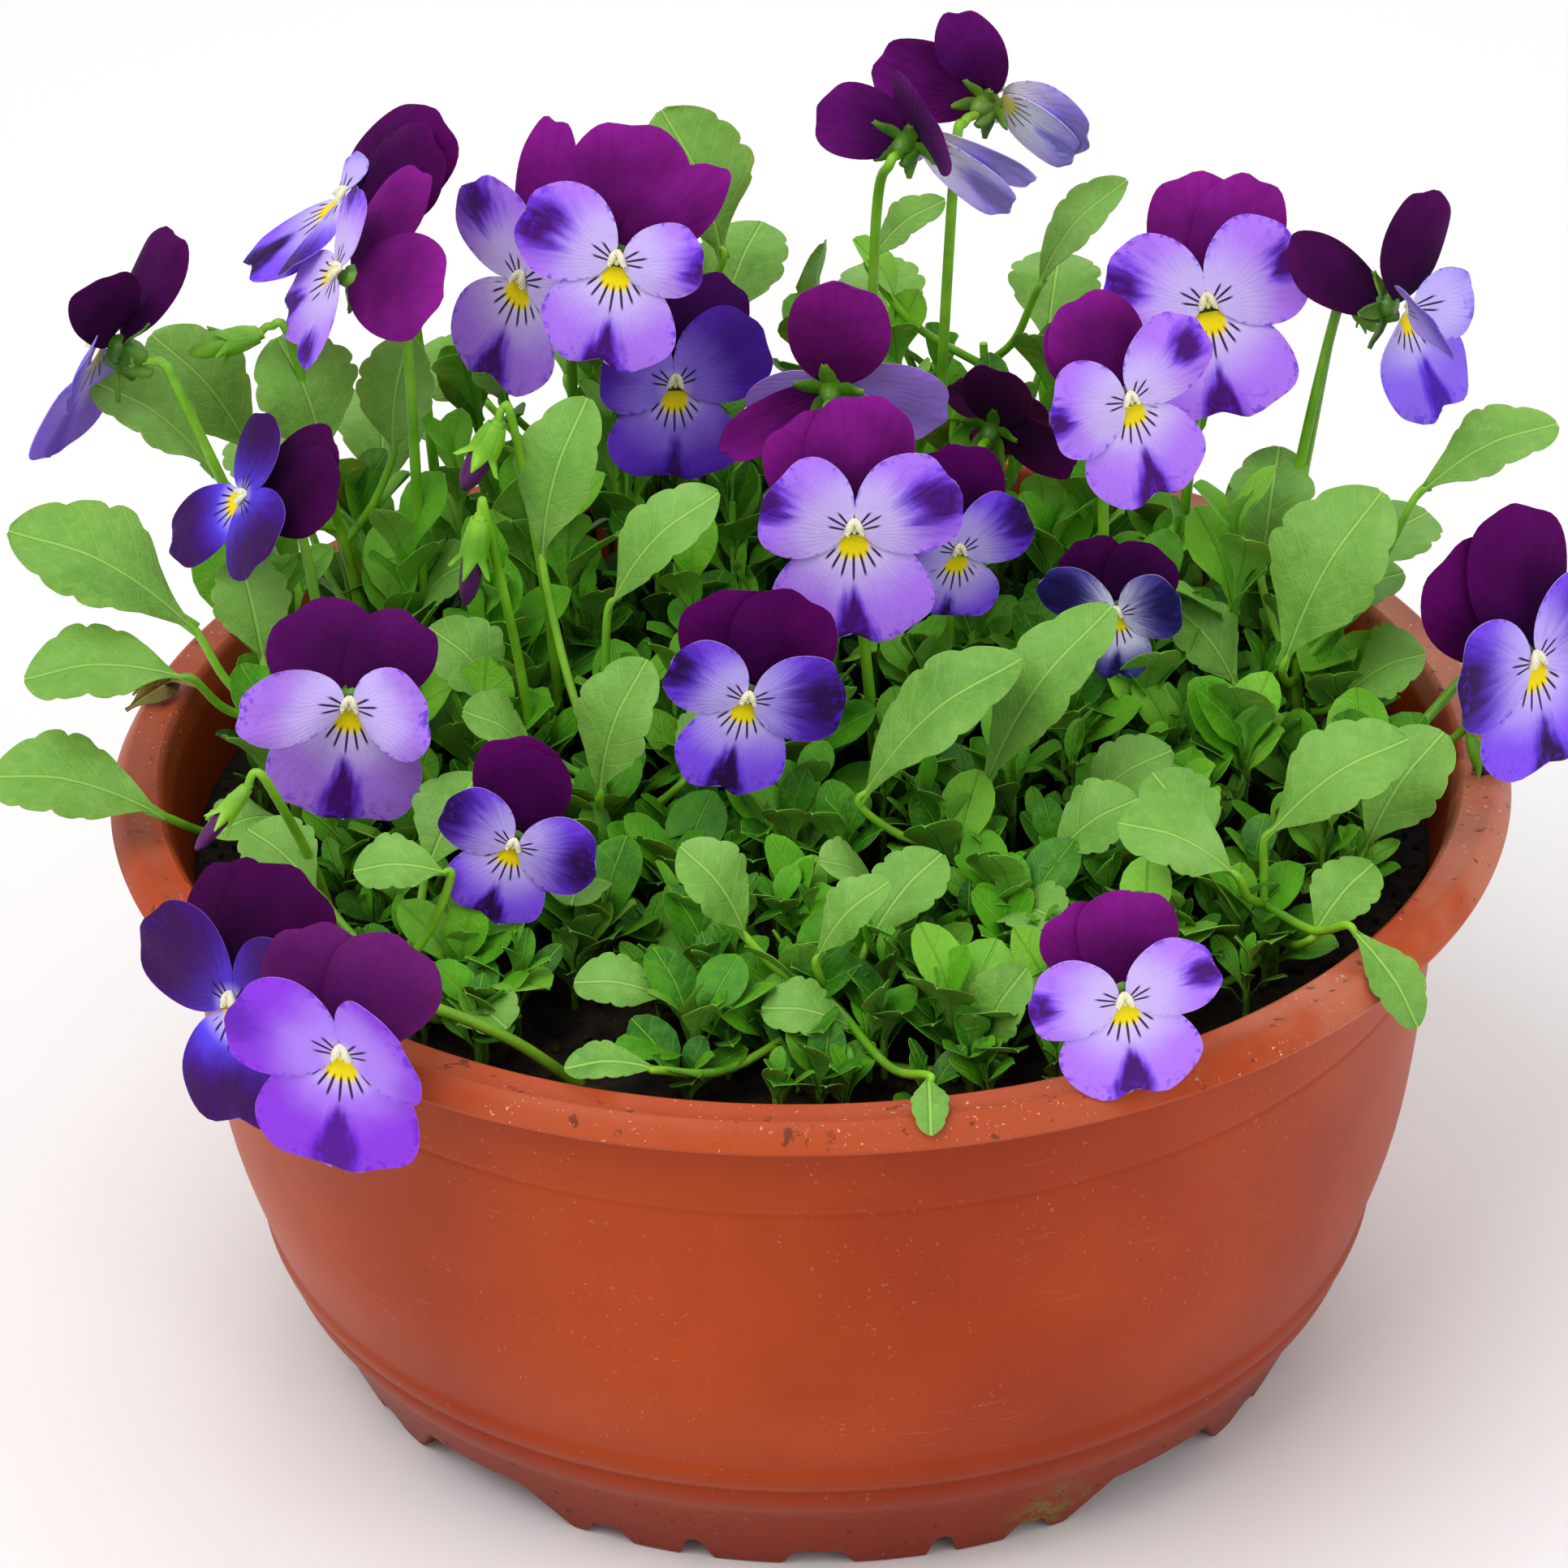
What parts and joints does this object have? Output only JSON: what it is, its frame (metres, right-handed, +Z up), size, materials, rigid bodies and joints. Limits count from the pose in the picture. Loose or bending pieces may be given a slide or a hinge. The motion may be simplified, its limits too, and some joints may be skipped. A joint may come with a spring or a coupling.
{
  "type": "potted pansy planter",
  "caption": "Round plastic bowl planter on a cut-out foot ring, filled with soil and planted with flowering pansies and leafy stems.",
  "frame": {"origin": "on the bowl's vertical axis, in the plane of the foot ring's resting face", "axes": "+Z up along the bowl's axis, -Y the front that most blooms face, +X to the right seen from the front"},
  "size_m": [0.3197, 0.28, 0.262],
  "materials": {
    "bowl": "satin",
    "soil": "matte",
    "petals": "matte",
    "stalks": "matte",
    "leaves": "satin"
  },
  "bodies": {
    "root": {"back_plant": "leaves", "back_right_plant": "leaves", "bloom_back_centre": "petals", "bloom_back_left": "petals", "bloom_behind_centre": "petals", "bloom_centre": "petals", "bloom_corner_front": "petals", "bloom_corner_rear": "petals", "bloom_dark_back": "petals", "bloom_facing_back": "petals", "bloom_far_left": "petals", "bloom_far_right": "petals", "bloom_left_dark": "petals", "bloom_left_middle": "petals", "bloom_left_pair": "petals", "bloom_low_left": "petals", "bloom_low_right": "petals", "bloom_middle": "petals", "bloom_rear_left": "petals", "bloom_right_edge": "petals", "bloom_right_front": "petals", "bloom_right_large": "petals", "bloom_small_dark": "petals", "bloom_top_left": "petals", "bloom_top_right": "petals", "bloom_violet": "petals", "bowl": "bowl", "front_plant": "leaves", "left_front_plant": "leaves", "left_plant": "leaves", "middle_left_plant": "leaves", "middle_right_plant": "leaves", "rear_left_plant": "leaves", "right_front_plant": "leaves", "right_plant": "leaves", "soil": "soil", "stalk_back_centre": "stalks", "stalk_back_left": "stalks", "stalk_behind_centre": "stalks", "stalk_centre": "stalks", "stalk_corner_front": "stalks", "stalk_corner_rear": "stalks", "stalk_dark_back": "stalks", "stalk_facing_back": "stalks", "stalk_far_left": "stalks", "stalk_far_right": "stalks", "stalk_left_dark": "stalks", "stalk_left_middle": "stalks", "stalk_left_pair": "stalks", "stalk_low_left": "stalks", "stalk_low_right": "stalks", "stalk_middle": "stalks", "stalk_rear_left": "stalks", "stalk_right_edge": "stalks", "stalk_right_front": "stalks", "stalk_right_large": "stalks", "stalk_small_dark": "stalks", "stalk_top_left": "stalks", "stalk_top_right": "stalks", "stalk_violet": "stalks"}
  },
  "joints": []
}
